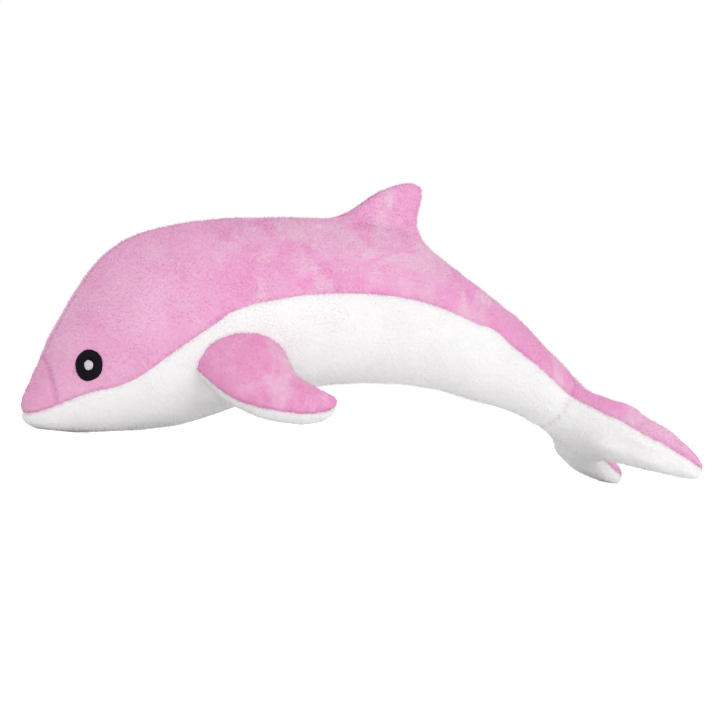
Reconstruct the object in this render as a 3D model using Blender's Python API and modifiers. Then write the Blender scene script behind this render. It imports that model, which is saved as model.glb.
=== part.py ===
"""Plush dolphin, half a metre long: pile cloth panels sewn over fibre stuffing.

Metres, +Z up. The nose points to -X, the dolphin's left side to -Y, and the origin lies on the floor
under the middle of the toy, which rests on its chin and on both fluke lobes.

Body, flukes and flippers each start as a coarse cage that is smoothed once into a skin. A skin is cut
along its seams into panels of cloth, and the stuffing is the same form just inside the cloth.
"""

import math
from collections import namedtuple

import bmesh
import bpy
from mathutils import Matrix, Vector
from mathutils.bvhtree import BVHTree

MM = 0.001

# The stations, outlines and corners below are a drawing that is 493 units long.
TOY_LENGTH = 493.0 * MM  # from the nose to the tips of the flukes
DRAWN = TOY_LENGTH / 493.0  # one unit of the drawing

# Cloth and seams
CLOTH = 2.0 * MM  # backing and short pile together
SEAM_GAP = 0.5 * MM  # left between two panels that are sewn edge to edge
STUFFING_GAP = 0.7 * MM  # between cloth and the stuffing inside it
EDGE_PASSES = 6  # how often stuffing near a sharp edge is pushed on inward
LAYER_GAP = 0.3 * MM  # between a limb and the body, and round an eye
FLOOR_PRESS = 1.5 * MM  # how much of the chin and of the flukes the floor presses flat

# Body: each station is one ring of the cage. top and bottom are where its plane meets the back and the
# belly, as drawn units behind and above the chin. seam is how far down the side seam lies, from 0 at the
# back to 1 at the belly.
Station = namedtuple("Station", "top bottom half_width seam")
SNOUT = [
    Station((-12.8, 19.0), (-10.5, 5.1), 8.0, 0.68),
    Station((-9.6, 28.6), (-5.8, 2.1), 14.0, 0.70),
    Station((-2.6, 47.8), (6.2, -1.1), 22.0, 0.68),
]
HEAD = [
    Station((8.0, 77.7), (28.4, 0.8), 33.0, 0.68),
    Station((26.8, 115.7), (55.1, 5.0), 46.0, 0.71),
    Station((49.1, 139.7), (78.0, 7.9), 55.0, 0.655),
    Station((83.4, 151.6), (104.5, 11.6), 59.0, 0.55),
]
CHEST = [
    Station((123.9, 160.0), (136.4, 25.7), 59.0, 0.42),
    Station((166.1, 164.5), (173.7, 38.5), 56.0, 0.41),
]
FIN_ROOT = [
    Station((202.0, 166.3), (207.0, 48.3), 52.7, 0.43),
    Station((225.0, 167.3), (228.0, 51.6), 50.0, 0.438),
    Station((248.0, 164.5), (247.0, 53.2), 47.3, 0.438),
    Station((268.5, 158.0), (262.0, 53.8), 44.0, 0.415),
]
TAIL_STOCK = [
    Station((298.0, 142.0), (282.5, 54.0), 39.5, 0.372),
    Station((322.5, 128.0), (304.5, 51.6), 34.0, 0.343),
    Station((353.6, 110.7), (333.5, 46.5), 29.0, 0.352),
    Station((377.0, 93.0), (359.5, 43.0), 24.5, 0.355),
    Station((399.7, 74.3), (380.3, 34.2), 20.5, 0.39),
]
BODY = SNOUT + HEAD + CHEST + FIN_ROOT + TAIL_STOCK
BEAK_SEAM = len(SNOUT) - 1
FIN_FRONT = len(SNOUT + HEAD + CHEST)
FIN_REAR = FIN_FRONT + len(FIN_ROOT) - 1

# Ring columns run from 0 at the top through SEAM at the side seam to BOTTOM, minus on the left side.
SEAM = 3
BOTTOM = 6
# A smoothed ring lies inside its cage, so each column stands out by this share to make up for it.
COLUMN_EASE = (1.0, 1.01, 1.05, 1.05, 1.055, 1.055, 1.055)

# Dorsal fin: its outline above the back at each of its four stations, halfway up and at its crest
FIN_HALF_THICKNESS = 9.0 * DRAWN
FIN_MIDDLE = [(217.0, 173.5), (233.0, 182.0), (250.0, 183.0), (264.0, 175.0)]
FIN_MIDDLE_HALF_THICKNESS = 7.5 * DRAWN
FIN_CREST = [(235.0, 192.0), (247.0, 197.5), (259.0, 201.0), (272.5, 199.5)]
FIN_CREST_HALF_THICKNESS = 5.5 * DRAWN
FIN_CREST_ROUND = 4.0 * DRAWN  # how far the crest's edges lie below its seam

# Flukes: sections across the tail, as drawn units along the tail from its seam, sideways and up, and the
# cloth's bulge above and below the seam. The lobes' rows run from the leading edge to the trailing edge.
Section = namedtuple("Section", "along half_width rise above below")
FLUKE_ROOT = [
    Section(18.0, 24.0, -1.0, 20.0, 20.0),
    Section(38.0, 22.0, -5.0, 16.0, 18.0),
    Section(58.0, 16.0, -10.5, 9.0, 11.0),
]
Corner = namedtuple("Corner", "along out rise above below")
FLUKE_LOBE = [
    [
        Corner(21, 38, 0, 17, 10),
        Corner(33, 43, -4, 21, 18),
        Corner(50, 42, -8, 18, 15),
        Corner(70, 35, -11, 10, 8),
    ],
    [
        Corner(46, 60, -3, 16, 10),
        Corner(60, 61, -6, 17, 13),
        Corner(74, 59, -7, 15, 11),
        Corner(90, 54, -8, 9, 7),
    ],
    [
        Corner(83, 72, -4, 8, 8),
        Corner(90, 71, -4, 10, 9),
        Corner(97, 69, -4, 9, 8),
        Corner(104, 64, -5, 8, 8),
    ],
]
LOBE_EDGE_ROUND = 5.0 * DRAWN
TRAILING_SEAM_RISE = 4.0 * DRAWN  # the white cloth reaches further up at the trailing edge
FLUKE_TWIST = math.radians(5.0)  # the soft flukes hang lower on the toy's right side
FLUKE_YAW = math.radians(3.0)  # and its right lobe trails a little further back

# Flipper: pairs of points on its leading and trailing seams, behind, out from the middle and above the
# chin, and its thickness there. The first pair lies inside the body, which cuts the root to fit.
Chord = namedtuple("Chord", "lead trail thickness")
FLIPPER = [
    Chord((84, 36, 60), (156, 38, 74), 38.0),
    Chord((90, 52, 54), (159, 54, 68), 40.0),
    Chord((102, 69, 37), (157, 69, 57), 37.0),
    Chord((120, 87, 26), (162, 84, 45), 30.0),
    Chord((147, 100, 24), (174, 97, 39), 20.0),
    Chord((164, 104, 29), (178, 102, 39), 12.0),
]
FLIPPER_EASE = 1.10
FLIPPER_SEAM_LIFT = math.radians(36.0)  # how far round towards the top the leading seam lies, outboard
LIFT_SHARE = (1.0, 0.75, 0.5, 0.25, 0.0, 0.0, 0.25, 0.6)  # how much of the lift each column takes

# Embroidered eyes
EYE_PLACE = (17.0, 39.5, 48.5)
EYE_WIDTH = 19.5 * DRAWN
EYE_HEIGHT = 22.5 * DRAWN
EYE_CENTRE_WIDTH = 6.8 * DRAWN
EYE_CENTRE_HEIGHT = 7.8 * DRAWN
EYE_THICKNESS = 1.2 * MM
EYE_SEGMENTS = 16

BACK_LEFT, BACK_RIGHT, BEAK, BELLY = range(4)
LIMB_TOP, LIMB_UNDER = range(2)


def clear_scene():
    for thing in list(bpy.data.objects):
        bpy.data.objects.remove(thing, do_unlink=True)


def collection(name):
    made = bpy.data.collections.new(name)
    bpy.context.scene.collection.children.link(made)
    return made


def linear(red, green, blue):
    """A colour given as 0 to 255 on screen, as the linear values that a shader takes."""
    return [((v / 255 + 0.055) / 1.055) ** 2.4 for v in (red, green, blue)] + [1.0]


def material(name, colour, roughness):
    made = bpy.data.materials.new(name)
    made.use_nodes = True
    shader = made.node_tree.nodes["Principled BSDF"]
    shader.inputs["Base Color"].default_value = colour
    shader.inputs["Roughness"].default_value = roughness
    shader.inputs["Metallic"].default_value = 0.0
    made.diffuse_color = colour
    return made


def column_angles(station):
    """The angle of each column of a ring, from 0 at the top to pi at the bottom."""
    seam = math.acos(1 - 2 * station.seam)
    fin = math.asin(min(0.35, FIN_HALF_THICKNESS / (station.half_width * DRAWN)))
    upper = [0.0, fin, (fin + seam) / 2, seam]
    lower = [seam + (math.pi - seam) * step / 3 for step in (1, 2, 3)]
    return upper + lower


def oval_ring(middle, up, half_width, angles):
    """Points of an upright oval ring, as a dictionary from column to place."""
    places = {}
    for column, angle in enumerate(angles):
        ease = COLUMN_EASE[column]
        height = middle + up * (math.cos(angle) * ease)
        out = Vector((0, half_width * math.sin(angle) * ease, 0))
        places[column] = height + out
        if 0 < column < BOTTOM:
            places[-column] = height - out
    return places


def body_ring(station):
    top = Vector((station.top[0], 0, station.top[1])) * DRAWN
    bottom = Vector((station.bottom[0], 0, station.bottom[1])) * DRAWN
    return oval_ring(
        (top + bottom) / 2, (top - bottom) / 2, station.half_width * DRAWN, column_angles(station)
    )


class Cage:
    """A coarse mesh whose corners remember their ring and column, so that a part extruded from it knows
    where each of its new corners belongs."""

    def __init__(self):
        self.mesh = bmesh.new()
        self.ring = self.mesh.verts.layers.int.new("ring")
        self.column = self.mesh.verts.layers.int.new("column")

    def add_ring(self, number, places, order):
        corners = []
        for column in order:
            corner = self.mesh.verts.new(places[column])
            corner[self.ring] = number
            corner[self.column] = column
            corners.append(corner)
        return [
            self.mesh.edges.new((a, b)) for a, b in zip(corners, corners[1:] + corners[:1])
        ]

    def loft(self, rings, order):
        loops = [self.add_ring(number, places, order) for number, places in enumerate(rings)]
        for before, after in zip(loops, loops[1:]):
            bmesh.ops.bridge_loops(self.mesh, edges=before + after)
        return loops

    def close(self, loop, join=None):
        """Closes an end with a face, cut in two between a pair of its columns."""
        bmesh.ops.contextual_create(self.mesh, geom=loop)
        if join:
            ends = {corner for edge in loop for corner in edge.verts if corner[self.column] in join}
            bmesh.ops.connect_verts(self.mesh, verts=list(ends))

    def faces_between(self, rings, columns):
        return [
            face
            for face in self.mesh.faces
            if all(v[self.ring] in rings and v[self.column] in columns for v in face.verts)
        ]

    def extrude(self, faces, place):
        """Extrudes faces and puts each new corner at place(ring, column)."""
        made = bmesh.ops.extrude_face_region(self.mesh, geom=faces)["geom"]
        bmesh.ops.delete(self.mesh, geom=[f for f in faces if f.is_valid], context="FACES_ONLY")
        for corner in made:
            if isinstance(corner, bmesh.types.BMVert):
                corner.co = place(corner[self.ring], corner[self.column])
        return [f for f in made if isinstance(f, bmesh.types.BMFace)]

    def smoothed(self, name, kind_of):
        """The skin: the cage smoothed once, with each face's kind as its material number."""
        bmesh.ops.recalc_face_normals(self.mesh, faces=self.mesh.faces)
        for face in self.mesh.faces:
            face.material_index = kind_of(face)
        cage = bpy.data.meshes.new(name)
        self.mesh.to_mesh(cage)
        self.mesh.free()
        carrier = bpy.data.objects.new(name, cage)
        bpy.context.scene.collection.objects.link(carrier)
        smoothing = carrier.modifiers.new("Smooth", "SUBSURF")
        smoothing.levels = smoothing.render_levels = 1
        graph = bpy.context.evaluated_depsgraph_get()
        skin = bpy.data.meshes.new_from_object(carrier.evaluated_get(graph))
        bpy.data.objects.remove(carrier, do_unlink=True)
        triangulate(skin)
        return skin


def triangulate(skin):
    """Cuts a skin's bent squares in two once, so that all that is made from it bends the same way."""
    mesh = bmesh.new()
    mesh.from_mesh(skin)
    bmesh.ops.triangulate(mesh, faces=mesh.faces)
    mesh.to_mesh(skin)
    mesh.free()


def body_skin():
    cage = Cage()
    order = list(range(BOTTOM + 1)) + [-column for column in range(BOTTOM - 1, 0, -1)]
    loops = cage.loft([body_ring(station) for station in BODY], order)
    cage.close(loops[0], join=(SEAM, -SEAM))

    def fin_level(outline, half_thickness, drop):
        def place(ring, column):
            along, height = outline[ring - FIN_FRONT]
            low = drop if column else 0.0
            return Vector((along * DRAWN, half_thickness * column, height * DRAWN - low))

        return place

    root = cage.faces_between(range(FIN_FRONT, FIN_REAR + 1), {-1, 0, 1})
    middle = cage.extrude(root, fin_level(FIN_MIDDLE, FIN_MIDDLE_HALF_THICKNESS, 0.0))
    cage.extrude(middle, fin_level(FIN_CREST, FIN_CREST_HALF_THICKNESS, FIN_CREST_ROUND))

    def kind_of(face):
        columns = [abs(v[cage.column]) for v in face.verts]
        if sum(columns) > SEAM * len(columns):
            return BELLY
        if max(v[cage.ring] for v in face.verts) <= BEAK_SEAM:
            return BEAK
        return BACK_LEFT if face.calc_center_median().y < 0 else BACK_RIGHT

    return cage.smoothed("body_cage", kind_of)


def tail_frame():
    """The middle of the fluke seam, the way along the tail and the way up across it."""
    last = BODY[-1]
    top = Vector((last.top[0], 0, last.top[1])) * DRAWN
    bottom = Vector((last.bottom[0], 0, last.bottom[1])) * DRAWN
    up = (top - bottom).normalized()
    return (top + bottom) / 2, Vector((up.z, 0, -up.x)), up


def fluke_skin():
    middle, along, up = tail_frame()
    seam_ring = {c: place + along * SEAM_GAP for c, place in body_ring(BODY[-1]).items()}
    rings = [seam_ring]
    angles = column_angles(BODY[-1])
    for number, section in enumerate(FLUKE_ROOT, 1):
        centre = middle + along * (section.along * DRAWN) + up * (section.rise * DRAWN)
        half_height = (section.above + section.below) / 2 * DRAWN
        ring = oval_ring(centre, up * half_height, section.half_width * DRAWN, angles)
        twist = Matrix.Rotation(-FLUKE_TWIST * number / len(FLUKE_ROOT), 3, along)
        rings.append({column: centre + twist @ (p - centre) for column, p in ring.items()})
    twist = Matrix.Rotation(-FLUKE_TWIST, 3, along)
    yaw = Matrix.Rotation(-FLUKE_YAW, 3, up)
    cage = Cage()
    order = list(range(BOTTOM + 1)) + [-column for column in range(BOTTOM - 1, 0, -1)]
    loops = cage.loft(rings, order)
    cage.close(loops[-1], join=(SEAM, -SEAM))

    def lobe_level(row):
        leading, trailing = 0, len(row) - 1

        def place(ring, column):
            corner = row[ring]
            side = math.copysign(1, column)
            edge = abs(column) in (SEAM, SEAM + 1)
            height = {2: corner.above, SEAM: 0, SEAM + 1: -corner.below * 0.55}.get(
                abs(column), -corner.below
            )
            seam_rise = TRAILING_SEAM_RISE if ring == trailing and abs(column) == SEAM else 0.0
            forward = 0.0
            if not edge:
                forward = {leading: LOBE_EDGE_ROUND, trailing: -LOBE_EDGE_ROUND}.get(ring, 0.0)
            sideways = Vector((0, side * corner.out * DRAWN, 0))
            backwards = along * (corner.along * DRAWN + forward)
            return middle + twist @ yaw @ (
                backwards + up * ((corner.rise + height) * DRAWN + seam_rise) + sideways
            )

        return place

    for side in (1, -1):
        columns = {side * column for column in range(2, BOTTOM)}
        lobe = cage.faces_between(range(len(rings)), columns)
        for row in FLUKE_LOBE:
            lobe = cage.extrude(lobe, lobe_level(row))

    def kind_of(face):
        columns = [abs(v[cage.column]) for v in face.verts]
        return LIMB_UNDER if sum(columns) > SEAM * len(columns) else LIMB_TOP

    return cage.smoothed("fluke_cage", kind_of)


def flipper_skin(side):
    """One flipper, on the left with side -1 and on the right with side 1."""

    def point(place):
        return Vector((place[0], side * place[1], place[2])) * DRAWN

    middles = [(point(c.lead) + point(c.trail)) / 2 for c in FLIPPER]
    rings = []
    for number, chord in enumerate(FLIPPER):
        half_chord = (point(chord.lead) - point(chord.trail)) / 2
        nearer = middles[max(number - 1, 0)]
        further = middles[min(number + 1, len(middles) - 1)]
        normal = half_chord.cross(further - nearer).normalized()
        if normal.z < 0:
            normal.negate()
        places = {}
        lift = FLIPPER_SEAM_LIFT * min(1.0, max(0.0, (number - 2) / 2))
        for column in range(8):
            angle = math.tau * column / 8 + lift * LIFT_SHARE[column]
            places[column] = middles[number] + FLIPPER_EASE * (
                half_chord * math.cos(angle) + normal * (chord.thickness / 2 * DRAWN * math.sin(angle))
            )
        rings.append(places)
    cage = Cage()
    loops = cage.loft(rings, range(8))
    cage.close(loops[-1], join=(0, 4))

    def kind_of(face):
        columns = {v[cage.column] for v in face.verts}
        return LIMB_TOP if columns <= {0, 1, 2, 3, 4} else LIMB_UNDER

    return cage.smoothed("flipper_cage", kind_of)


def lowest(mesh, ways):
    """The lowest corner of a mesh once it is moved by the matrix ways."""
    return min((ways @ v.co for v in mesh.vertices), key=lambda place: place.z)


def resting_matrix(body, flukes):
    """Tips the toy until chin and flukes stand on the floor, pressed a little into it."""
    ways = Matrix.Identity(4)
    for _ in range(4):
        chin, lobe = lowest(body, ways), lowest(flukes, ways)
        tip = math.atan2(lobe.z - chin.z, lobe.x - chin.x)
        ways = Matrix.Rotation(tip, 4, "Y") @ ways
        ways = Matrix.Translation((0, 0, -lowest(body, ways).z - FLOOR_PRESS)) @ ways
    ends = [(ways @ v.co).x for mesh in (body, flukes) for v in mesh.vertices]
    return Matrix.Translation((-(min(ends) + max(ends)) / 2, 0, 0)) @ ways


def press_on_floor(mesh):
    for vertex in mesh.vertices:
        vertex.co.z = max(vertex.co.z, 0.0)


def skin_mesh(skin, rim_way):
    """A working copy of a skin whose corners know their way inward. At an open rim that way stays in the
    rim's own plane, so that two rims sewn face to face don't meet inside."""
    mesh = bmesh.new()
    mesh.from_mesh(skin)
    mesh.normal_update()
    inward = mesh.verts.layers.float_vector.new("inward")
    corner = mesh.verts.layers.int.new("corner")
    for vertex in mesh.verts:
        way = -vertex.normal
        if vertex.is_boundary and rim_way:
            way = (way - rim_way * way.dot(rim_way)).normalized()
        vertex[inward] = way
        vertex[corner] = vertex.index
    return mesh, inward


def draw_back_from_seams(mesh, inward):
    """Moves a panel's edge into the panel by half a seam's gap."""
    moves = {}
    for vertex in mesh.verts:
        if not vertex.is_boundary:
            continue
        normal = vertex[inward]
        into = sum((f.calc_center_median() - vertex.co for f in vertex.link_faces), Vector())
        into -= normal * into.dot(normal)
        moves[vertex] = into.normalized() * (SEAM_GAP / 2)
    for vertex, move in moves.items():
        vertex.co += move


def cloth_panel(skin, kinds, rim_way=None):
    """The solid of one cloth panel: some kinds of a skin's faces, thickened inward. Each square of its rim
    is cut in two from the skin's lower-numbered corner, so that two rims sewn together bend alike."""
    mesh, inward = skin_mesh(skin, rim_way)
    others = [face for face in mesh.faces if face.material_index not in kinds]
    bmesh.ops.delete(mesh, geom=others, context="FACES")
    draw_back_from_seams(mesh, inward)
    corner = mesh.verts.layers.int["corner"]
    deep = mesh.verts.layers.int.new("deep")
    made = bmesh.ops.extrude_face_region(mesh, geom=mesh.faces[:], use_keep_orig=True)["geom"]
    for vertex in made:
        if isinstance(vertex, bmesh.types.BMVert):
            vertex.co += vertex[inward] * CLOTH
            vertex[deep] = 1
    for face in [face for face in mesh.faces if len(face.verts) == 4]:
        first, _, _, last = sorted(face.verts, key=lambda v: (v[corner], v[deep]))
        bmesh.ops.connect_verts(mesh, verts=[first, last])
    return mesh


def stuffing_form(skin, rim_way=None):
    """The solid inside a skin's cloth, closed at the rim. Where the skin bends sharply, corners that come
    too near it are pushed on inward, because stuffing doesn't fill a sharp edge of the cloth."""
    mesh, inward = skin_mesh(skin, rim_way)
    outside = BVHTree.FromBMesh(mesh)
    depth = CLOTH + STUFFING_GAP
    for vertex in mesh.verts:
        vertex.co += vertex[inward] * depth
    for _ in range(EDGE_PASSES):
        for vertex in mesh.verts:
            near, _, _, distance = outside.find_nearest(vertex.co)
            if distance < depth and not vertex.is_boundary:
                vertex.co += (vertex.co - near).normalized() * (depth - distance)
    close_rims(mesh)
    return mesh


def close_rims(mesh):
    rims = [edge for edge in mesh.edges if edge.is_boundary]
    bmesh.ops.holes_fill(mesh, edges=rims)


def add_piece(name, mesh, finish, home, smooth_angle=40):
    """Makes a bmesh an object of its own in a collection, with faces out and one material."""
    bmesh.ops.recalc_face_normals(mesh, faces=mesh.faces)
    for face in mesh.faces:
        face.material_index = 0
    data = bpy.data.meshes.new(name)
    mesh.to_mesh(data)
    mesh.free()
    data.materials.clear()
    data.materials.append(finish)
    data.shade_smooth()
    data.set_sharp_from_angle(angle=math.radians(smooth_angle))
    piece = bpy.data.objects.new(name, data)
    home.objects.link(piece)
    return piece


def body_cutter(skin, finish, home):
    """The body's form, larger by the gap that a limb keeps to it."""
    mesh = bmesh.new()
    mesh.from_mesh(skin)
    mesh.normal_update()
    for vertex in mesh.verts:
        vertex.co += vertex.normal * LAYER_GAP
    close_rims(mesh)
    cutter = add_piece("body_form", mesh, finish, home)
    cutter.hide_render = True
    cutter.display_type = "WIRE"
    return cutter


def cut_root(piece, cutter):
    cut = piece.modifiers.new("Root against body", "BOOLEAN")
    cut.operation = "DIFFERENCE"
    cut.solver = "EXACT"
    cut.object = cutter


def oval(mesh, share, width, height):
    """One oval loop, share of the way out from the middle oval to the outer one."""
    made = bmesh.ops.create_circle(mesh, segments=EYE_SEGMENTS, radius=0.5)["verts"]
    for vertex in made:
        vertex.co.x *= width[0] + (width[1] - width[0]) * share
        vertex.co.y *= height[0] + (height[1] - height[0]) * share
    return list({edge for vertex in made for edge in vertex.link_edges})


def eye_ring(mesh):
    """The black border, as rings of faces from the pale centre out."""
    width = (EYE_CENTRE_WIDTH + 2 * LAYER_GAP, EYE_WIDTH)
    height = (EYE_CENTRE_HEIGHT + 2 * LAYER_GAP, EYE_HEIGHT)
    loops = [oval(mesh, share, width, height) for share in (0.0, 0.5, 1.0)]
    for inner, outer in zip(loops, loops[1:]):
        bmesh.ops.bridge_loops(mesh, edges=inner + outer)


def eye_centre(mesh):
    width, height = (0.0, EYE_CENTRE_WIDTH), (0.0, EYE_CENTRE_HEIGHT)
    loop = oval(mesh, 1.0, width, height)
    disc = bmesh.ops.contextual_create(mesh, geom=loop)["faces"]
    bmesh.ops.poke(mesh, faces=disc)


def embroidery(draw, tree, place):
    """A flat drawing laid on the head's side and thickened outward as thread."""
    spot, out, _, _ = tree.find_nearest(place)
    across = Vector((0, 0, 1)).cross(out).normalized()
    frame = Matrix((across, out.cross(across), out)).transposed()
    mesh = bmesh.new()
    draw(mesh)
    for vertex in mesh.verts:
        start = spot + frame @ vertex.co + out * EYE_WIDTH
        hit = tree.ray_cast(start, -out)[0]
        vertex.co = hit + out * LAYER_GAP
    made = bmesh.ops.extrude_face_region(mesh, geom=mesh.faces[:], use_keep_orig=True)["geom"]
    corners = [v for v in made if isinstance(v, bmesh.types.BMVert)]
    bmesh.ops.translate(mesh, verts=corners, vec=out * EYE_THICKNESS)
    return mesh


def build():
    clear_scene()
    parts = collection("plush_dolphin")
    cutters = collection("cutters")
    pink = material("pink_pile", linear(234, 172, 210), 0.95)
    white = material("white_pile", linear(244, 242, 243), 0.95)
    fibre = material("fibre_stuffing", linear(238, 238, 236), 1.0)
    black_thread = material("black_thread", linear(21, 17, 23), 0.6)
    white_thread = material("white_thread", linear(235, 232, 236), 0.6)

    body, flukes = body_skin(), fluke_skin()
    rest = resting_matrix(body, flukes)
    tail_way = (rest.to_3x3() @ tail_frame()[1]).normalized()
    for skin in (body, flukes):
        skin.transform(rest)
        press_on_floor(skin)

    back_kinds = {"back_panel_left": BACK_LEFT, "back_panel_right": BACK_RIGHT, "beak_panel": BEAK}
    for name, kind in back_kinds.items():
        add_piece(name, cloth_panel(body, {kind}, tail_way), pink, parts)
    add_piece("belly_panel", cloth_panel(body, {BELLY}, tail_way), white, parts)
    add_piece("body_stuffing", stuffing_form(body, tail_way), fibre, parts)

    add_piece("fluke_top", cloth_panel(flukes, {LIMB_TOP}, tail_way), pink, parts)
    add_piece("fluke_underside", cloth_panel(flukes, {LIMB_UNDER}, tail_way), white, parts)
    add_piece("fluke_stuffing", stuffing_form(flukes, tail_way), fibre, parts)

    cutter = body_cutter(body, fibre, cutters)
    for label, side in (("left", -1), ("right", 1)):
        skin = flipper_skin(side)
        skin.transform(rest)
        pieces = [
            add_piece(f"flipper_{label}_top", cloth_panel(skin, {LIMB_TOP}), pink, parts),
            add_piece(f"flipper_{label}_underside", cloth_panel(skin, {LIMB_UNDER}), white, parts),
            add_piece(f"flipper_{label}_stuffing", stuffing_form(skin), fibre, parts),
        ]
        for piece in pieces:
            cut_root(piece, cutter)

    working = bmesh.new()
    working.from_mesh(body)
    tree = BVHTree.FromBMesh(working)
    working.free()
    for label, side in (("left", -1), ("right", 1)):
        place = rest @ (Vector((EYE_PLACE[0], side * EYE_PLACE[1], EYE_PLACE[2])) * DRAWN)
        add_piece(f"eye_{label}_border", embroidery(eye_ring, tree, place), black_thread, parts)
        add_piece(f"eye_{label}_centre", embroidery(eye_centre, tree, place), white_thread, parts)


build()
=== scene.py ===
"""The looks of the plush dolphin: pile cloth panels sewn over stuffing, and embroidered eyes."""

import math
import random

import bmesh
import bpy
from mathutils import Matrix, Vector, noise
from mathutils.bvhtree import BVHTree
from mathutils.kdtree import KDTree


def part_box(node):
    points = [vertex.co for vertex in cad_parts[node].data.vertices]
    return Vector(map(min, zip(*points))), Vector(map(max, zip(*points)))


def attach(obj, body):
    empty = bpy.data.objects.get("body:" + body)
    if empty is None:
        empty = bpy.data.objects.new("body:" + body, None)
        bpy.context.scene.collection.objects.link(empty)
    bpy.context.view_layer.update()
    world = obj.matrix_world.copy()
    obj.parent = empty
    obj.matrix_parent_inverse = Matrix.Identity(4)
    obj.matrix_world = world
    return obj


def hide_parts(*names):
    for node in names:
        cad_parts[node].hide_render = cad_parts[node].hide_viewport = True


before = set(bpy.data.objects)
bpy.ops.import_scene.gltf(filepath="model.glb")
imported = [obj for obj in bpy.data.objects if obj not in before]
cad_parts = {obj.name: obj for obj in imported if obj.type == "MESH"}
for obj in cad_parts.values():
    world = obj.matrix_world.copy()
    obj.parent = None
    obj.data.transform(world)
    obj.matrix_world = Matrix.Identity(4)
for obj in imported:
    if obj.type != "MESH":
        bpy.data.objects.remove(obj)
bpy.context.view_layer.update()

# Body cloth: two pink back panels, each with half of the dorsal fin, a pink beak panel and one white belly
# panel, all of short pile plush. They are sewn edge to edge, turned and stuffed through the belly, so each
# panel swells between its seams and puckers along them.
BODY_PANELS = ("back_panel_left", "back_panel_right", "beak_panel", "belly_panel")
FLUKE_PANELS = ("fluke_top", "fluke_underside")
SEAM_REACH = 0.0009
RING_REACH = 0.0022
CLOTH = 0.0020
CLOTH_SLACK = 2e-5
SAME_PLACE = 1e-5
STUFFING_GAP = 0.0012
LOOKS_OUT = 0.3
PAIR_BEND = math.radians(50)
PAIR_SKEW = math.radians(60)


def search_tree(places):
    """A tree that finds the nearest of these places."""
    tree = KDTree(len(places))
    for number, place in enumerate(places):
        tree.insert(place, number)
    tree.balance()
    return tree


def outside_of(name, core):
    """The outer face of one CAD panel, as a bmesh. Each of its corners has a partner on the panel's inner
    face, one thickness of cloth away and nearer to the stuffing. Corners where a root was cut off have
    none, and there the side that a face looks to decides."""
    cloth = bmesh.new()
    cloth.from_mesh(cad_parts[name].data)
    bmesh.ops.remove_doubles(cloth, verts=cloth.verts, dist=SAME_PLACE)
    cloth.normal_update()
    corners = search_tree([corner.co for corner in cloth.verts])
    outer, inner = set(), set()
    for corner in cloth.verts:
        close = corners.find_range(corner.co, CLOTH + CLOTH_SLACK)
        partners = [place for place, _, gap in close if gap > CLOTH - CLOTH_SLACK]
        if partners:
            partner = min(partners, key=lambda place: (place - corner.co).dot(corner.normal))
            deep = core.find_nearest(corner.co)[3] < core.find_nearest(partner)[3]
            (inner if deep else outer).add(corner)
    hidden = []
    for face in cloth.faces:
        mine = set(face.verts)
        if mine <= outer:
            continue
        centre = face.calc_center_median()
        out = centre - core.find_nearest(centre)[0]
        looks_out = face.normal.dot(out.normalized()) >= LOOKS_OUT
        if mine & inner or out.length < STUFFING_GAP or not looks_out:
            hidden.append(face)
    bmesh.ops.delete(cloth, geom=hidden, context="FACES")
    return cloth


def sew(form, reach):
    """Brings the open corners that lie within reach of each other to their common middle and joins them."""
    rim = [corner for corner in form.verts if corner.is_boundary]
    corners = search_tree([corner.co for corner in rim])
    middles = []
    for corner in rim:
        near = [place for place, _, _ in corners.find_range(corner.co, reach)]
        middles.append(sum(near, Vector()) / len(near))
    for corner, middle in zip(rim, middles):
        corner.co = middle
    bmesh.ops.remove_doubles(form, verts=rim, dist=reach / 2)


def sewn_form(panels, stuffings):
    """Several panels' outer faces sewn into one skin. A face's material number is its panel's, and
    stuffings says which panels lie round which CAD stuffing."""
    trees = {}
    for stuffing, covers in stuffings.items():
        core = bmesh.new()
        core.from_mesh(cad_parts[stuffing].data)
        for name in covers:
            trees[name] = BVHTree.FromBMesh(core)
        core.free()
    form = bmesh.new()
    for number, name in enumerate(panels):
        cloth = outside_of(name, trees[name])
        for face in cloth.faces:
            face.material_index = number
        carried = bpy.data.meshes.new(name + "_carried")
        cloth.to_mesh(carried)
        cloth.free()
        form.from_mesh(carried)
        bpy.data.meshes.remove(carried)
    sew(form, SEAM_REACH)
    sew(form, RING_REACH)
    bmesh.ops.join_triangles(
        form,
        faces=form.faces,
        cmp_materials=True,
        angle_face_threshold=PAIR_BEND,
        angle_shape_threshold=PAIR_SKEW,
    )
    bmesh.ops.recalc_face_normals(form, faces=form.faces)
    return form


def made_object(form, name):
    """An object of its own with this bmesh as its mesh, shaded smooth."""
    mesh = bpy.data.meshes.new(name)
    form.to_mesh(mesh)
    form.free()
    mesh.shade_smooth()
    made = bpy.data.objects.new(name, mesh)
    bpy.context.scene.collection.objects.link(made)
    return made


def discarded(carrier):
    """Removes an object that only carried a form through one of Blender's tools."""
    old = carrier.data
    bpy.data.objects.remove(carrier)
    bpy.data.meshes.remove(old)


def refined(form, levels):
    """The form after so many smoothing subdivisions, as a new bmesh."""
    carrier = made_object(form, "refining")
    smoothing = carrier.modifiers.new("Smooth", "SUBSURF")
    smoothing.levels = smoothing.render_levels = levels
    graph = bpy.context.evaluated_depsgraph_get()
    mesh = bpy.data.meshes.new_from_object(carrier.evaluated_get(graph))
    discarded(carrier)
    finer = bmesh.new()
    finer.from_mesh(mesh)
    bpy.data.meshes.remove(mesh)
    finer.normal_update()
    return finer


def seams(form):
    """The edges that are sewn: an open rim, or an edge between two panels."""
    return [
        edge
        for edge in form.edges
        if edge.is_boundary or len({face.material_index for face in edge.link_faces}) > 1
    ]


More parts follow.
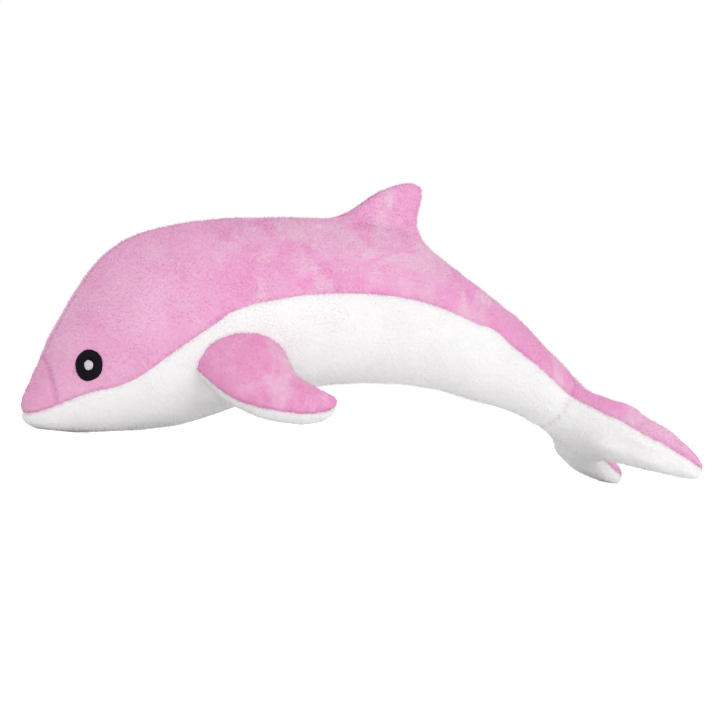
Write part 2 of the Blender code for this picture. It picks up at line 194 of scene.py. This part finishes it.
BLOWING_STEPS = 16
CLOTH_MASS = 0.05
CLOTH_STIFFNESS = 20
CLOTH_BENDING = 0.5


def stuffed(form, pressure, most):
    """The form blown out by its stuffing as cloth that is held at its seams. No corner goes further than
    most from where it started."""
    sewn = sorted({corner.index for edge in seams(form) for corner in edge.verts})
    carrier = made_object(form, "stuffing_cloth")
    held = carrier.vertex_groups.new(name="sewn")
    held.add(sewn, 1.0, "REPLACE")
    cloth = carrier.modifiers.new("Cloth", "CLOTH")
    cloth.settings.vertex_group_mass = held.name
    cloth.settings.quality = 6
    cloth.settings.mass = CLOTH_MASS
    cloth.settings.tension_stiffness = CLOTH_STIFFNESS
    cloth.settings.compression_stiffness = CLOTH_STIFFNESS
    cloth.settings.bending_stiffness = CLOTH_BENDING
    cloth.settings.use_pressure = True
    cloth.settings.uniform_pressure_force = pressure
    cloth.settings.effector_weights.gravity = 0.0
    cloth.collision_settings.use_collision = False
    for step in range(1, BLOWING_STEPS + 1):
        bpy.context.scene.frame_set(step)
    graph = bpy.context.evaluated_depsgraph_get()
    blown = carrier.evaluated_get(graph).to_mesh()
    result = bmesh.new()
    result.from_mesh(carrier.data)
    result.verts.ensure_lookup_table()
    for corner, vertex in zip(result.verts, blown.vertices):
        move = vertex.co - corner.co
        if move.length > most:
            move *= most / move.length
        corner.co += move
    carrier.modifiers.clear()
    bpy.context.scene.frame_set(1)
    discarded(carrier)
    result.normal_update()
    return result


def seam_tree(form):
    """A search tree of places along every seam of the form."""
    places = []
    for edge in seams(form):
        start, end = edge.verts
        places += [start.co, (start.co + end.co) / 2]
    return search_tree(places)


SEAM_SINK = 0.0009
SEAM_WIDTH = 0.0020
PUCKER_DEPTH = 0.0005
PUCKER_LENGTH = 0.0085
PUCKER_REACH = 0.012
CLUMP_DEPTH = 0.00025
CLUMP_LENGTH = 0.0035
FINE_CLUMP_LENGTH = 0.0017
SLACK_DEPTH = 0.0008
SLACK_LENGTH = 0.026
ABOVE_FLOOR = 0.0002
FIN_FOLD_HEIGHT = 0.1655
FIN_FOLD_BEND = 0.0012
FIN_FOLD_WIDTH = 0.0011
FIN_FOLD_FRONT = -0.024
FIN_FOLD_BACK = 0.010
FIN_FOLD_DEPTH = 0.0008


def fin_fold(place):
    """How deep the soft fold is that the stuffed fin presses into the cloth at its foot, from 0 to 1."""
    along = (place.x - FIN_FOLD_FRONT) / (FIN_FOLD_BACK - FIN_FOLD_FRONT)
    if not 0 < along < 1:
        return 0.0
    height = FIN_FOLD_HEIGHT + FIN_FOLD_BEND * math.sin(along * 5)
    return math.exp(-(((place.z - height) / FIN_FOLD_WIDTH) ** 2)) * math.sin(along * math.pi) ** 0.5


def piled(form):
    """Sinks the seams, puckers the cloth beside them and raises the pile's clumps. Each corner keeps how
    near a seam or the fin's fold it is, as an attribute with which the pile's colour paints shade there."""
    tree = seam_tree(form)
    nearness = form.verts.layers.float.new("seam")
    form.normal_update()
    normals = [corner.normal.copy() for corner in form.verts]
    for corner, out in zip(form.verts, normals):
        place = corner.co
        gap = tree.find(place)[2]
        near = math.exp(-((gap / SEAM_WIDTH) ** 2))
        corner[nearness] = near
        beside = math.exp(-((gap / PUCKER_REACH) ** 2)) * (1 - near)
        pucker = noise.noise(place / PUCKER_LENGTH) * PUCKER_DEPTH * beside
        clump = noise.noise(place / CLUMP_LENGTH) * 0.6 + noise.noise(place / FINE_CLUMP_LENGTH) * 0.4
        slack = noise.noise(place / SLACK_LENGTH) * SLACK_DEPTH * (1 - near)
        fold = fin_fold(place)
        # The fin's fold joins the seams in this attribute, so the fold gets the same painted shade.
        corner[nearness] = max(near, fold * 0.6)
        sunk = SEAM_SINK * near + FIN_FOLD_DEPTH * fold
        corner.co += out * (pucker + clump * CLUMP_DEPTH + slack - sunk)
        corner.co.z = max(corner.co.z, ABOVE_FLOOR)
    form.normal_update()


def laid_flat(sheet, name):
    """The sheet with a map of its own, named OFBake, cut and laid flat as its cloth was before sewing."""
    panel = made_object(sheet, name)
    bpy.context.view_layer.objects.active = panel
    panel.data.uv_layers.new(name="OFBake")
    bpy.ops.object.mode_set(mode="EDIT")
    bpy.ops.mesh.select_all(action="SELECT")
    bpy.ops.uv.unwrap(method="ANGLE_BASED", margin=0.01)
    bpy.ops.object.mode_set(mode="OBJECT")
    flat = bmesh.new()
    flat.from_mesh(panel.data)
    discarded(panel)
    flat.normal_update()
    return flat


TUFTS_PER_SQUARE_METRE = 0.9e6
MORE_TUFTS_BY_SEAM = 1.2
TUFT_LENGTH = 0.0019
TUFT_HALF_WIDTH = 0.00026
TUFT_ROOT_DEPTH = 0.0003
TUFT_ABOVE_FLOOR = 0.0001
NAP_WAY = Vector((0.85, 0.0, -0.5))
SWIRL_LENGTH = 0.022
LEAST_RISE = 0.2
# Unseeded, the swirls would start from the clock and differ from run to run.
noise.seed_set(1)


def tuft_way(root, out, near, chance):
    """The way one tuft points: up out of the cloth, along the nap, in the cloth's swirls, and astray."""
    nap = NAP_WAY - out * NAP_WAY.dot(out)
    stray = Vector([chance.uniform(-1, 1) for _ in range(3)])
    swirl = noise.noise_vector(root / SWIRL_LENGTH)
    way = (out * 0.6 + nap * 0.55 + stray * (0.38 + 0.9 * near) + swirl * 0.7).normalized()
    if way.dot(out) < LEAST_RISE:
        way = (way + out * 0.4).normalized()
    return way


def grow_pile(sheet, seed):
    """Covers a sheet with single tufts of pile, which lean the way the cloth was brushed: back and down.
    A tuft's map lies on the cloth that it covers."""
    chance = random.Random(seed)
    nearness = sheet.verts.layers.float["seam"]
    # The tip attribute lets the pile paint each tuft's tip paler, a painted highlight.
    tip_share = sheet.verts.layers.float.new("tip")
    flat = sheet.loops.layers.uv["OFBake"]
    for face in list(sheet.faces):
        corners = list(face.verts)
        edge = sum(corner[nearness] for corner in corners) / len(corners)
        wanted = face.calc_area() * TUFTS_PER_SQUARE_METRE * (1 + MORE_TUFTS_BY_SEAM * edge)
        count = int(wanted) + (chance.random() < wanted % 1)
        if not count:
            continue
        laid = [loop[flat].uv.copy() for loop in face.loops]
        ahead, beside = corners[1].co - corners[0].co, corners[-1].co - corners[0].co
        laid_ahead, laid_beside = laid[1] - laid[0], laid[-1] - laid[0]
        for _ in range(count):
            along, over = chance.random(), chance.random()
            if len(corners) == 4:
                shares = (1 - along) * (1 - over), along * (1 - over), along * over, (1 - along) * over
            else:
                shares = 1 - math.sqrt(along), math.sqrt(along) * (1 - over), math.sqrt(along) * over
            root = sum((c.co * s for c, s in zip(corners, shares)), Vector())
            out = sum((c.normal * s for c, s in zip(corners, shares)), Vector()).normalized()
            near = sum(c[nearness] * s for c, s in zip(corners, shares))
            spot = sum((uv * s for uv, s in zip(laid, shares)), Vector((0, 0)))
            way = tuft_way(root, out, near, chance)
            across = way.cross(out)
            if across.length < 0.05:
                continue
            across = across.normalized() * TUFT_HALF_WIDTH * chance.uniform(0.7, 1.2) * (1 + 0.3 * near)
            tip = way * (TUFT_LENGTH * chance.uniform(0.65, 1.2) * (1 + 0.15 * near))
            steps = [-across, across, tip]
            if (steps[1] - steps[0]).cross(steps[2] - steps[0]).dot(out) < 0:
                steps = [across, -across, tip]
            made = [sheet.verts.new(root - out * TUFT_ROOT_DEPTH + step) for step in steps]
            for corner, share in zip(made, (0.0, 0.0, 1.0)):
                corner[nearness] = near
                corner[tip_share] = share
            made[2].co.z = max(made[2].co.z, TUFT_ABOVE_FLOOR)
            tuft = sheet.faces.new(made)
            for loop, step in zip(tuft.loops, steps):
                share = step.dot(ahead) / ahead.length_squared, step.dot(beside) / beside.length_squared
                loop[flat].uv = spot + laid_ahead * share[0] + laid_beside * share[1]


def panel_pieces(form, names):
    """One piece for each panel of the form."""
    pieces = []
    for number, name in enumerate(names):
        sheet = form.copy()
        others = [face for face in sheet.faces if face.material_index != number]
        bmesh.ops.delete(sheet, geom=others, context="FACES")
        for face in sheet.faces:
            face.material_index = 0
        sheet = laid_flat(sheet, name + "_flat")
        grow_pile(sheet, name)
        pieces.append(made_object(sheet, name.replace("_panel", "") + "_pile"))
    return pieces


def on_side_seam(corner):
    """Whether a corner lies on one of the two long seams between the pink back and the white belly."""
    belly = BODY_PANELS.index("belly_panel")
    panels = {face.material_index for face in corner.link_faces}
    return len(panels) == 2 and max(panels) == belly


def ease_side_seams(form, passes):
    """Evens out the two long side seams, each cut as one curve."""
    for _ in range(passes):
        places = {}
        for corner in filter(on_side_seam, form.verts):
            ends = [edge.other_vert(corner) for edge in corner.link_edges]
            seam = [end.co for end in ends if on_side_seam(end)]
            if len(seam) == 2:
                places[corner] = corner.co * 0.4 + (seam[0] + seam[1]) * 0.3
        for corner, place in places.items():
            corner.co = place


SEAM_DROPS = ((-0.182, 0.021, 0.0072), (-0.116, 0.018, -0.0038), (0.089, 0.011, -0.0045))
SEAM_PULL = 0.014


def draw_side_seams(form):
    """Draws the side seams along the skin into their S: low behind the eye, high over the flipper and again
    before the tail. Each step is a place along the toy, its span and how far the seam drops there."""
    skin = BVHTree.FromBMesh(form)
    seam = search_tree([corner.co for corner in form.verts if on_side_seam(corner)])
    form.normal_update()
    places = {}
    for corner in form.verts:
        gap = seam.find(corner.co)[2]
        drop = sum(most * math.exp(-(((corner.co.x - x) / span) ** 2)) for x, span, most in SEAM_DROPS)
        drop *= math.exp(-((gap / SEAM_PULL) ** 2))
        down = Vector((0, 0, -1)) + corner.normal * corner.normal.z
        if down.length > 0.2 and abs(drop) > 1e-5:
            places[corner] = skin.find_nearest(corner.co + down.normalized() * drop)[0]
    for corner, place in places.items():
        corner.co = place


TOY_PANELS = BODY_PANELS + FLUKE_PANELS
toy = sewn_form(TOY_PANELS, {"body_stuffing": BODY_PANELS, "fluke_stuffing": FLUKE_PANELS})
toy = refined(toy, 1)
ease_side_seams(toy, passes=8)
draw_side_seams(toy)
toy = stuffed(toy, pressure=60.0, most=0.0025)
toy = refined(toy, 2)
smooth_toy = BVHTree.FromBMesh(toy)
piled(toy)
toy_pieces = panel_pieces(toy, TOY_PANELS)
toy.free()


def pile_group():
    """Short plush with painted light: the pile lies in soft patches that catch the light a little more or
    less, painted paler, and the front of the head and the tufts' tips are painted paler too. It is ragged
    at the scale of single tufts, and it parts along the seams and in the fin's fold, which are painted
    darker as painted shade."""
    group = bpy.data.node_groups.new("Plush pile", "ShaderNodeTree")
    face = group.interface
    face.new_socket("Colour", in_out="INPUT", socket_type="NodeSocketColor")
    face.new_socket("Lit nap", in_out="INPUT", socket_type="NodeSocketColor")
    face.new_socket("Seam shade", in_out="INPUT", socket_type="NodeSocketColor")
    face.new_socket("Colour", in_out="OUTPUT", socket_type="NodeSocketColor")
    face.new_socket("Height", in_out="OUTPUT", socket_type="NodeSocketFloat")
    nodes, link = group.nodes, group.links.new
    given = nodes.new("NodeGroupInput")
    put = nodes.new("NodeGroupOutput")
    place = nodes.new("ShaderNodeTexCoord")

    def noise_of(scale, detail, rough=0.5, distortion=0.0):
        made = nodes.new("ShaderNodeTexNoise")
        made.inputs["Scale"].default_value = scale
        made.inputs["Detail"].default_value = detail
        made.inputs["Roughness"].default_value = rough
        made.inputs["Distortion"].default_value = distortion
        link(place.outputs["Object"], made.inputs["Vector"])
        return made.outputs["Fac"]

    def spread(value, low, high, to_low=0.0, to_high=1.0):
        made = nodes.new("ShaderNodeMapRange")
        made.inputs["From Min"].default_value = low
        made.inputs["From Max"].default_value = high
        made.inputs["To Min"].default_value = to_low
        made.inputs["To Max"].default_value = to_high
        link(value, made.inputs["Value"])
        return made.outputs["Result"]

    def mixed(amount, first, second):
        made = nodes.new("ShaderNodeMix")
        made.data_type = "RGBA"
        link(amount, made.inputs["Factor"])
        link(first, made.inputs["A"])
        link(second, made.inputs["B"])
        return made.outputs["Result"]

    def calculated(way, first, second):
        made = nodes.new("ShaderNodeMath")
        made.operation = way
        for socket, value in zip(made.inputs, (first, second)):
            if isinstance(value, float):
                socket.default_value = value
            else:
                link(value, socket)
        return made.outputs["Value"]

    patches = spread(noise_of(24.0, 4.0, 0.58, 0.7), 0.44, 0.57)
    drifts = spread(noise_of(90.0, 4.0, 0.6, 0.6), 0.40, 0.62)
    tufts = spread(noise_of(520.0, 3.0, 0.6), 0.3, 0.7)
    hairs = spread(noise_of(1500.0, 2.0, 0.6), 0.3, 0.7)
    along = nodes.new("ShaderNodeSeparateXYZ")
    link(place.outputs["Object"], along.inputs["Vector"])
    # Towards the nose the patches fade and the colour is lifted towards the lit nap: painted light that
    # makes the front of the head paler.
    head_light_fade = spread(along.outputs["X"], -0.165, -0.10, 0.35, 1.0)
    nap = calculated("ADD", calculated("MULTIPLY", patches, 0.55), calculated("MULTIPLY", drifts, 0.25))
    nap = calculated("ADD", calculated("MULTIPLY", nap, head_light_fade), spread(head_light_fade, 0.35, 1.0, 0.27, 0.0))
    nap = calculated("ADD", nap, calculated("MULTIPLY", tufts, 0.20))
    colour = mixed(nap, given.outputs["Colour"], given.outputs["Lit nap"])
    # Near seams and in the fin's fold the colour goes towards the seam shade colour: painted shade. Dark
    # single tufts take the same colour at random.
    seam = nodes.new("ShaderNodeAttribute")
    seam.attribute_name = "seam"
    seam_shade = calculated("MULTIPLY", seam.outputs["Fac"], 0.24)
    ragged = calculated("MULTIPLY", spread(hairs, 0.0, 1.0, 0.5, 0.0), 0.17)
    dark = calculated("MAXIMUM", seam_shade, ragged)
    tip = nodes.new("ShaderNodeAttribute")
    tip.attribute_name = "tip"
    colour = mixed(dark, colour, given.outputs["Seam shade"])
    # Each tuft's tip is painted paler with the lit nap colour: a painted highlight.
    colour = mixed(calculated("MULTIPLY", tip.outputs["Fac"], 0.25), colour, given.outputs["Lit nap"])
    link(colour, put.inputs["Colour"])
    height = calculated("ADD", calculated("MULTIPLY", tufts, 0.6), calculated("MULTIPLY", hairs, 0.4))
    link(height, put.inputs["Height"])
    return group


def screen(red, green, blue):
    """A colour given as 0 to 255 on screen, as a shader's values."""
    return [((value / 255 + 0.055) / 1.055) ** 2.4 for value in (red, green, blue)] + [1.0]


def raised(tree, shader, height, strength, distance):
    """Shades a surface as if this height stood out of it."""
    bump = tree.nodes.new("ShaderNodeBump")
    bump.inputs["Strength"].default_value = strength
    bump.inputs["Distance"].default_value = distance
    tree.links.new(height, bump.inputs["Height"])
    tree.links.new(bump.outputs["Normal"], shader.inputs["Normal"])


PILE = pile_group()


def pile_material(name, colour, lit, seam_shade):
    """Pile of one colour, painted paler where the nap catches the light and painted darker along seams and
    the fin's fold as painted shade.
    """
    made = bpy.data.materials.new(name)
    made.use_nodes = True
    nodes = made.node_tree.nodes
    shader = nodes["Principled BSDF"]
    shader.inputs["Roughness"].default_value = 0.92
    shader.inputs["Specular IOR Level"].default_value = 0.15
    shader.inputs["Sheen Weight"].default_value = 0.25
    shader.inputs["Sheen Roughness"].default_value = 0.5
    pile = nodes.new("ShaderNodeGroup")
    pile.node_tree = PILE
    pile.inputs["Colour"].default_value = colour
    pile.inputs["Lit nap"].default_value = lit
    pile.inputs["Seam shade"].default_value = seam_shade
    made.node_tree.links.new(pile.outputs["Colour"], shader.inputs["Base Color"])
    raised(made.node_tree, shader, pile.outputs["Height"], strength=0.5, distance=0.0008)
    return made


pink_plush = pile_material(
    "pink_plush",
    colour=screen(237, 155, 206),
    lit=screen(238, 200, 221),
    seam_shade=screen(216, 132, 182),
)
white_plush = pile_material(
    "white_plush",
    colour=screen(246, 245, 245),
    lit=screen(251, 250, 250),
    seam_shade=screen(222, 218, 221),
)
# A deeper pink for the beak and the flipper tops: the beak panel's own deeper pink, and on the flippers
# painted shade as well.
deep_pink_and_shade_plush = pile_material(
    "pink_plush_deep_and_shade",
    colour=screen(237, 148, 200),
    lit=screen(240, 196, 221),
    seam_shade=screen(212, 122, 174),
)


def dressed(piece, node, material):
    """Gives a piece its cloth, hangs it from the root and hides the CAD node that it stands for."""
    piece.data.materials.clear()
    piece.data.materials.append(material)
    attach(piece, "root")
    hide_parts(node)


CLOTH_OF = {
    "back_panel_left": pink_plush,
    "back_panel_right": pink_plush,
    "beak_panel": deep_pink_and_shade_plush,
    "belly_panel": white_plush,
    "fluke_top": pink_plush,
    "fluke_underside": white_plush,
}
for piece, node in zip(toy_pieces, TOY_PANELS):
    cloth = CLOTH_OF[node]
    dressed(piece, node, cloth)

# Flippers: a pink top and a white underside each, sewn round the edge, stuffed lightly and sewn by the root
# to the belly just under the side seam.
ROOT_TUCK = 0.004
TIP_REACH = 0.038
TIP_SWELL = 0.0040


def tuck_root(form):
    """Carries the open root of a flipper on into the body, where it is sewn to the belly."""
    rim = [edge.link_loops[0] for edge in form.edges if edge.is_boundary]
    tucked = {}
    for corner in [end for loop in rim for end in loop.edge.verts]:
        if corner not in tucked:
            out = smooth_toy.find_nearest(corner.co)[1]
            tucked[corner] = form.verts.new(corner.co - out * ROOT_TUCK)
    for loop in rim:
        start, end = loop.vert, loop.link_loop_next.vert
        strip = form.faces.new((end, start, tucked[start], tucked[end]))
        strip.material_index = loop.face.material_index


def plump_tip(form, side):
    """Rounds the flipper's tip, where the stuffing is pushed in hardest."""
    tip = max(form.verts, key=lambda corner: corner.co.y * side).co.copy()
    form.normal_update()
    moves = {}
    for corner in form.verts:
        near = 1 - min(1.0, (corner.co - tip).length / TIP_REACH)
        moves[corner] = corner.normal * (TIP_SWELL * near * near * (3 - 2 * near))
    for corner, move in moves.items():
        corner.co += move


for side in ("left", "right"):
    panels = (f"flipper_{side}_top", f"flipper_{side}_underside")
    flipper = sewn_form(panels, {f"flipper_{side}_stuffing": panels})
    flipper = refined(flipper, 1)
    tuck_root(flipper)
    flipper = stuffed(flipper, pressure=60.0, most=0.0015)
    plump_tip(flipper, -1 if side == "left" else 1)
    flipper = refined(flipper, 2)
    piled(flipper)
    for piece, node in zip(panel_pieces(flipper, panels), panels):
        pink = node.endswith("top")
        cloth = deep_pink_and_shade_plush if pink else white_plush
        dressed(piece, node, cloth)
    flipper.free()

# Stuffing: loose polyester fibre in the body, the flukes and each flipper. The cloth hides it, so the CAD
# solids stay as they are and only get their fibre.
fibre = bpy.data.materials.new("polyester_fibre")
fibre.use_nodes = True
nodes, link = fibre.node_tree.nodes, fibre.node_tree.links.new
fibre_shader = nodes["Principled BSDF"]
fibre_shader.inputs["Roughness"].default_value = 1.0
fibre_shader.inputs["Specular IOR Level"].default_value = 0.05
fibre_place = nodes.new("ShaderNodeTexCoord")
strands = nodes.new("ShaderNodeTexNoise")
strands.inputs["Scale"].default_value = 260.0
strands.inputs["Detail"].default_value = 5.0
strands.inputs["Distortion"].default_value = 2.5
link(fibre_place.outputs["Object"], strands.inputs["Vector"])
tone = nodes.new("ShaderNodeMix")
tone.data_type = "RGBA"
tone.inputs["A"].default_value = screen(226, 225, 221)
tone.inputs["B"].default_value = screen(246, 246, 244)
link(strands.outputs["Fac"], tone.inputs["Factor"])
link(tone.outputs["Result"], fibre_shader.inputs["Base Color"])
raised(fibre.node_tree, fibre_shader, strands.outputs["Fac"], strength=0.6, distance=0.001)
for node in ("body_stuffing", "fluke_stuffing", "flipper_left_stuffing", "flipper_right_stuffing"):
    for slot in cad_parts[node].material_slots:
        slot.material = fibre

# Eyes: satin stitch worked through the pink cloth before sewing, a black thread ring round a white thread
# centre. The stitches stand a millimetre proud and their ends are uneven.
def thread_group():
    """Embroidery thread: single strands that differ a little in tone."""
    group = bpy.data.node_groups.new("Satin stitch", "ShaderNodeTree")
    face = group.interface
    face.new_socket("Thread", in_out="INPUT", socket_type="NodeSocketColor")
    face.new_socket("Worn thread", in_out="INPUT", socket_type="NodeSocketColor")
    face.new_socket("Colour", in_out="OUTPUT", socket_type="NodeSocketColor")
    face.new_socket("Height", in_out="OUTPUT", socket_type="NodeSocketFloat")
    nodes, link = group.nodes, group.links.new
    given = nodes.new("NodeGroupInput")
    put = nodes.new("NodeGroupOutput")
    place = nodes.new("ShaderNodeTexCoord")
    strands = nodes.new("ShaderNodeTexNoise")
    strands.inputs["Scale"].default_value = 1400.0
    strands.inputs["Detail"].default_value = 3.0
    link(place.outputs["Object"], strands.inputs["Vector"])
    tone = nodes.new("ShaderNodeMix")
    tone.data_type = "RGBA"
    link(strands.outputs["Fac"], tone.inputs["Factor"])
    link(given.outputs["Thread"], tone.inputs["A"])
    link(given.outputs["Worn thread"], tone.inputs["B"])
    link(tone.outputs["Result"], put.inputs["Colour"])
    link(strands.outputs["Fac"], put.inputs["Height"])
    return group


THREAD = thread_group()


def thread_material(name, colour, worn):
    """Embroidery thread of one colour, with strands of a worn one."""
    made = bpy.data.materials.new(name)
    made.use_nodes = True
    nodes = made.node_tree.nodes
    shader = nodes["Principled BSDF"]
    shader.inputs["Roughness"].default_value = 0.7
    shader.inputs["Specular IOR Level"].default_value = 0.12
    thread = nodes.new("ShaderNodeGroup")
    thread.node_tree = THREAD
    thread.inputs["Thread"].default_value = colour
    thread.inputs["Worn thread"].default_value = worn
    made.node_tree.links.new(thread.outputs["Colour"], shader.inputs["Base Color"])
    raised(made.node_tree, shader, thread.outputs["Height"], strength=0.4, distance=0.0002)
    return made


black_thread = thread_material("black_satin_thread", screen(10, 8, 12), screen(24, 20, 27))
white_thread = thread_material("white_satin_thread", screen(240, 236, 241), screen(222, 216, 224))
STITCH_STEPS = 360
STITCHES = 110
STITCH_RIDGE = 0.00009
CLEAR_OF_CLOTH = 0.02


def stitched(name, node, profile, size, uneven, material):
    """Satin stitches as a profile of (share of the way out, height) turned round the eye's middle, ridged
    along each stitch and laid on the cloth."""
    low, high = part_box(node)
    middle = (Vector(low) + Vector(high)) / 2
    spot, out, _, _ = smooth_toy.find_nearest(middle)
    across = Vector((0, 0, 1)).cross(out).normalized()
    eye_frame = Matrix((across, out.cross(across), out)).transposed()
    form = bmesh.new()
    points = [form.verts.new((share, 0.0, height)) for share, height in profile]
    for inner, outer in zip(points, points[1:]):
        form.edges.new((inner, outer))
    bmesh.ops.spin(
        form,
        geom=form.verts[:] + form.edges[:],
        cent=(0, 0, 0),
        axis=(0, 0, 1),
        angle=math.tau,
        steps=STITCH_STEPS,
        use_merge=True,
        use_duplicate=False,
    )
    bmesh.ops.remove_doubles(form, verts=form.verts, dist=1e-6)
    for corner in form.verts:
        angle = math.atan2(corner.co.y, corner.co.x)
        share = math.hypot(corner.co.x, corner.co.y)
        stitch = math.floor(angle / math.tau * STITCHES)
        reach = 1.0 + uneven * noise.noise(Vector((stitch * 0.7, 3.0, size[0] * 100)))
        wander = 1.0 + uneven * noise.noise(Vector((math.cos(angle) * 1.3, math.sin(angle) * 1.3, 7.0)))
        ridge = STITCH_RIDGE * math.cos(angle * STITCHES) * min(1.0, share * 2)
        flat = Vector((corner.co.x * size[0] / 2, corner.co.y * size[1] / 2, 0.0)) * (reach * wander)
        start = spot + eye_frame @ flat + out * CLEAR_OF_CLOTH
        hit = smooth_toy.ray_cast(start, -out)[0]
        corner.co = hit + out * (corner.co.z + ridge)
    bmesh.ops.recalc_face_normals(form, faces=form.faces)
    piece = made_object(form, name)
    piece.data.materials.append(material)
    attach(piece, "root")
    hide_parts(node)


RING_PROFILE = [
    (0.30, -0.0004),
    (0.32, 0.0010),
    (0.45, 0.0017),
    (0.60, 0.0019),
    (0.75, 0.0018),
    (0.88, 0.0014),
    (0.97, 0.0008),
    (1.00, -0.0006),
]
CENTRE_PROFILE = [
    (0.0, 0.0018),
    (0.35, 0.0018),
    (0.7, 0.0015),
    (0.93, 0.0010),
    (1.0, -0.0004),
]
for side in ("left", "right"):
    stitched(
        f"eye_{side}_ring",
        f"eye_{side}_border",
        RING_PROFILE,
        (0.0191, 0.0221),
        0.05,
        black_thread,
    )
    stitched(
        f"eye_{side}_dot",
        f"eye_{side}_centre",
        CENTRE_PROFILE,
        (0.0066, 0.0076),
        0.14,
        white_thread,
    )

# Stage: a plain white floor that keeps the toy's shadow, and soft light from all round, a little more from
# above and from the camera's side.
FLOOR_REACH = 6.0
floor_form = bmesh.new()
bmesh.ops.create_grid(floor_form, x_segments=1, y_segments=1, size=FLOOR_REACH)
floor = made_object(floor_form, "floor")
paper = bpy.data.materials.new("white_paper")
paper.use_nodes = True
nodes, link = paper.node_tree.nodes, paper.node_tree.links.new
paper_shader = nodes["Principled BSDF"]
paper_shader.inputs["Base Color"].default_value = (0.92, 0.92, 0.92, 1.0)
paper_shader.inputs["Roughness"].default_value = 0.9
paper_shader.inputs["Specular IOR Level"].default_value = 0.0
paper_shader.inputs["Emission Color"].default_value = (1.0, 1.0, 1.0, 1.0)
ray = nodes.new("ShaderNodeLightPath")
seen = nodes.new("ShaderNodeMath")
seen.operation = "MULTIPLY"
seen.inputs[1].default_value = 0.62
link(ray.outputs["Is Camera Ray"], seen.inputs[0])
link(seen.outputs["Value"], paper_shader.inputs["Emission Strength"])
floor.data.materials.append(paper)

world = bpy.data.worlds.new("studio")
bpy.context.scene.world = world
world.use_nodes = True
nodes, link = world.node_tree.nodes, world.node_tree.links.new
light = nodes["Background"]
light.inputs["Color"].default_value = (1.0, 1.0, 1.0, 1.0)
ray = nodes.new("ShaderNodeLightPath")
strength = nodes.new("ShaderNodeMapRange")
strength.inputs["To Min"].default_value = 0.76
strength.inputs["To Max"].default_value = 1.0
link(ray.outputs["Is Camera Ray"], strength.inputs["Value"])
link(strength.outputs["Result"], light.inputs["Strength"])


def softbox(name, place, size, power):
    """A lamp of this width and height that faces the toy."""
    lamp = bpy.data.lights.new(name, "AREA")
    lamp.shape = "RECTANGLE"
    lamp.size, lamp.size_y = size
    lamp.energy = power
    made = bpy.data.objects.new(name, lamp)
    made.location = place
    made.rotation_euler = (-Vector(place)).to_track_quat("-Z", "Y").to_euler()
    bpy.context.scene.collection.objects.link(made)


softbox("key_light", (0.4, -1.6, 1.3), (1.4, 1.4), 3.5)
softbox("low_light_by_the_nose", (-1.1, -1.9, 0.18), (1.2, 0.34), 7.4)
softbox("low_light_by_the_tail", (1.0, -1.9, 0.18), (1.2, 0.34), 7.5)
softbox("back_light", (0.5, 2.0, 0.9), (1.4, 1.4), 8.0)

# Camera: 3 m from the toy and level with it, 23 degrees round towards its nose and tilted 6.2 degrees, as
# the photograph is. FRAME_WIDTH is the width in metres that the picture takes in at the toy.
CAMERA_AZIMUTH = math.radians(-23.0)
CAMERA_DISTANCE = 3.0
CAMERA_ROLL = math.radians(6.2)
FRAME_WIDTH = 0.708 * 0.720
aim = Vector((0.0002, 0.0, 0.0708))
towards = Vector((math.sin(CAMERA_AZIMUTH), -math.cos(CAMERA_AZIMUTH), 0.0))
lens = bpy.data.cameras.new("camera")
lens.type = "PERSP"
lens.sensor_width = 36.0
lens.lens = lens.sensor_width * CAMERA_DISTANCE / FRAME_WIDTH
camera = bpy.data.objects.new("camera", lens)
camera.location = aim + towards * CAMERA_DISTANCE
turn = (-towards).to_track_quat("-Z", "Y").to_matrix() @ Matrix.Rotation(CAMERA_ROLL, 3, "Z")
camera.rotation_euler = turn.to_euler()
bpy.context.scene.collection.objects.link(camera)
bpy.context.scene.camera = camera
bpy.context.scene.view_settings.view_transform = "Standard"
